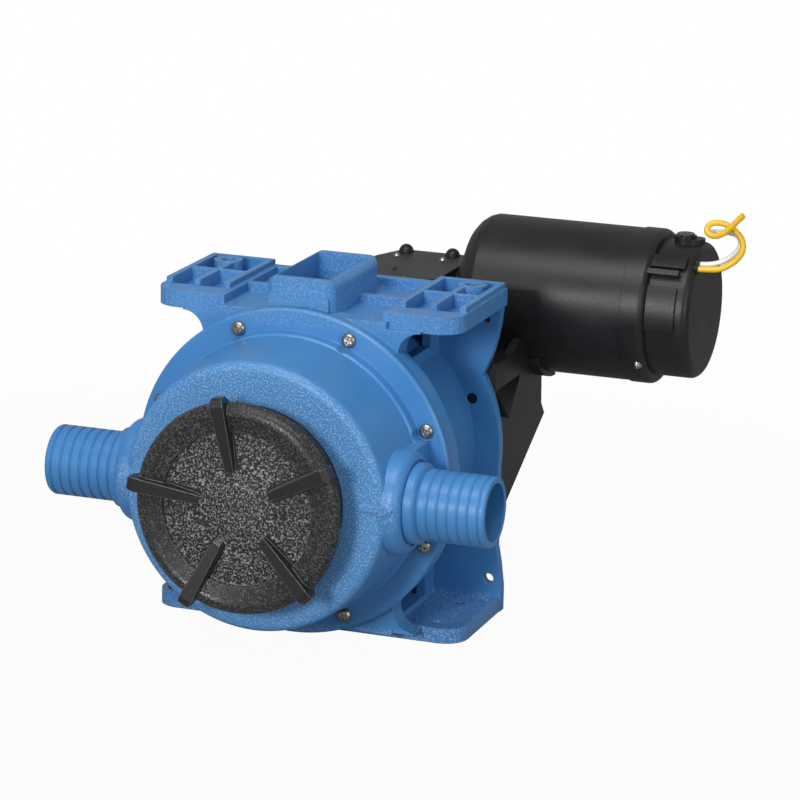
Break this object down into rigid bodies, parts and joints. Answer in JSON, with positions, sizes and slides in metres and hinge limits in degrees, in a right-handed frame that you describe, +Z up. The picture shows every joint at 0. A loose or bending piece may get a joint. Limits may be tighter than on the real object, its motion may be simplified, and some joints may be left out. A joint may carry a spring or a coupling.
{
  "type": "electric pump",
  "caption": "Self-priming diaphragm pump driven by a worm gearmotor, with two hose tails, a screw-in inspection cap, a lever socket and a flat foot.",
  "frame": {"origin": "centre of the four foot bolt holes, on the underside of the foot", "axes": "+X towards the outlet hose tail and the motor, +Y from the access cap to the drive, +Z up from the foot"},
  "size_m": [0.3272, 0.3093, 0.2232],
  "materials": {
    "blue_plastic": "moulded, lightly textured",
    "black_plastic": "moulded, lightly textured",
    "black_enamel": "black stove enamel",
    "rubber": "plain",
    "stainless": "plain",
    "plain_steel": "machined",
    "brass": "machined",
    "copper": "wound copper and steel stampings",
    "ferrite": "sintered",
    "carbon": "pressed carbon",
    "yellow_cover": "smooth insulation",
    "white_cover": "smooth insulation"
  },
  "bodies": {
    "root": {"front_cover": "blue_plastic", "rear_body": "blue_plastic", "lever_socket": "blue_plastic", "diaphragm": "rubber", "cover_screws": "stainless", "screw_inserts": "brass", "inlet_tail": "blue_plastic", "outlet_tail": "blue_plastic", "tail_seals": "rubber", "inlet_valve_ring": "rubber", "outlet_valve_ring": "rubber", "rod_bush": "brass", "upper_bush": "brass", "lower_bush": "brass", "gearbox_housing": "black_enamel", "gearbox_cover": "black_enamel", "gearbox_screws": "stainless", "gearbox_bolts": "black_enamel", "front_bearing": "plain_steel", "end_bearing": "brass", "worm_bush": "brass", "motor_front_bell": "black_enamel", "motor_can": "black_enamel", "motor_magnets": "ferrite", "motor_end_bell": "black_enamel", "motor_screws": "stainless", "brushes": "carbon", "brush_springs": "plain_steel", "brush_caps": "black_plastic", "drive_bracket": "black_enamel", "bracket_bolts": "stainless", "support_arm": "black_enamel", "arm_screws": "black_enamel", "lead_grommet": "rubber", "yellow_lead": "yellow_cover", "white_lead": "white_cover"},
    "plunger": {"front_clamp_plate": "stainless", "rear_clamp_plate": "stainless", "clamp_nut": "stainless", "push_rod": "stainless", "wrist_pin": "stainless", "clevis_clips": "stainless"},
    "rod": {"connecting_rod": "plain_steel", "crank_pin": "plain_steel"},
    "crank": {"crank_disc": "plain_steel", "output_shaft": "plain_steel", "worm_wheel": "brass"},
    "rotor": {"motor_shaft": "plain_steel", "worm": "plain_steel", "armature": "copper", "commutator": "copper"},
    "cap_thread": {"cap_gasket": "rubber"},
    "cap": {"access_cap": "black_plastic"},
    "inlet_flap": {"inlet_valve_flap": "rubber"},
    "outlet_flap": {"outlet_valve_flap": "rubber"}
  },
  "joints": [
    {"name": "rotor_spin", "type": "hinge", "parent": "root", "child": "rotor", "pos_m": [0.08, 0.121, 0.1607], "axis": [1, 0, 0], "continuous": true},
    {"name": "crank_spin", "type": "hinge", "parent": "root", "child": "crank", "pos_m": [0, 0.094, 0.123], "axis": [0, 0, 1], "continuous": true},
    {"name": "plunger_slide", "type": "slide", "parent": "root", "child": "plunger", "axis": [0, 1, 0], "range_m": [0, 0.02], "deforming": ["diaphragm"]},
    {"name": "rod_swing", "type": "hinge", "parent": "plunger", "child": "rod", "pos_m": [0, 0.054, 0.093], "axis": [0, 0, 1], "range_deg": [-19.4, 19.4]},
    {"name": "cap_turn", "type": "hinge", "parent": "cap_thread", "child": "cap", "pos_m": [0, -0.132, 0.093], "axis": [0, -1, 0], "range_deg": [0, 540]},
    {"name": "cap_lift", "type": "slide", "parent": "root", "child": "cap_thread", "axis": [0, -1, 0], "range_m": [0, 0.012]},
    {"name": "inlet_flap_swing", "type": "hinge", "parent": "root", "child": "inlet_flap", "pos_m": [-0.0699, -0.087, 0.10475], "axis": [0, -1, 0], "range_deg": [0, 35]},
    {"name": "outlet_flap_swing", "type": "hinge", "parent": "root", "child": "outlet_flap", "pos_m": [0.0675, -0.087, 0.10475], "axis": [0, -1, 0], "range_deg": [0, 35]}
  ],
  "couplings": [
    {"joint": "crank_spin", "follows": "rotor_spin", "ratio": 0.03125},
    {"joint": "cap_lift", "follows": "cap_turn", "m_per_rad": 0.001273}
  ]
}
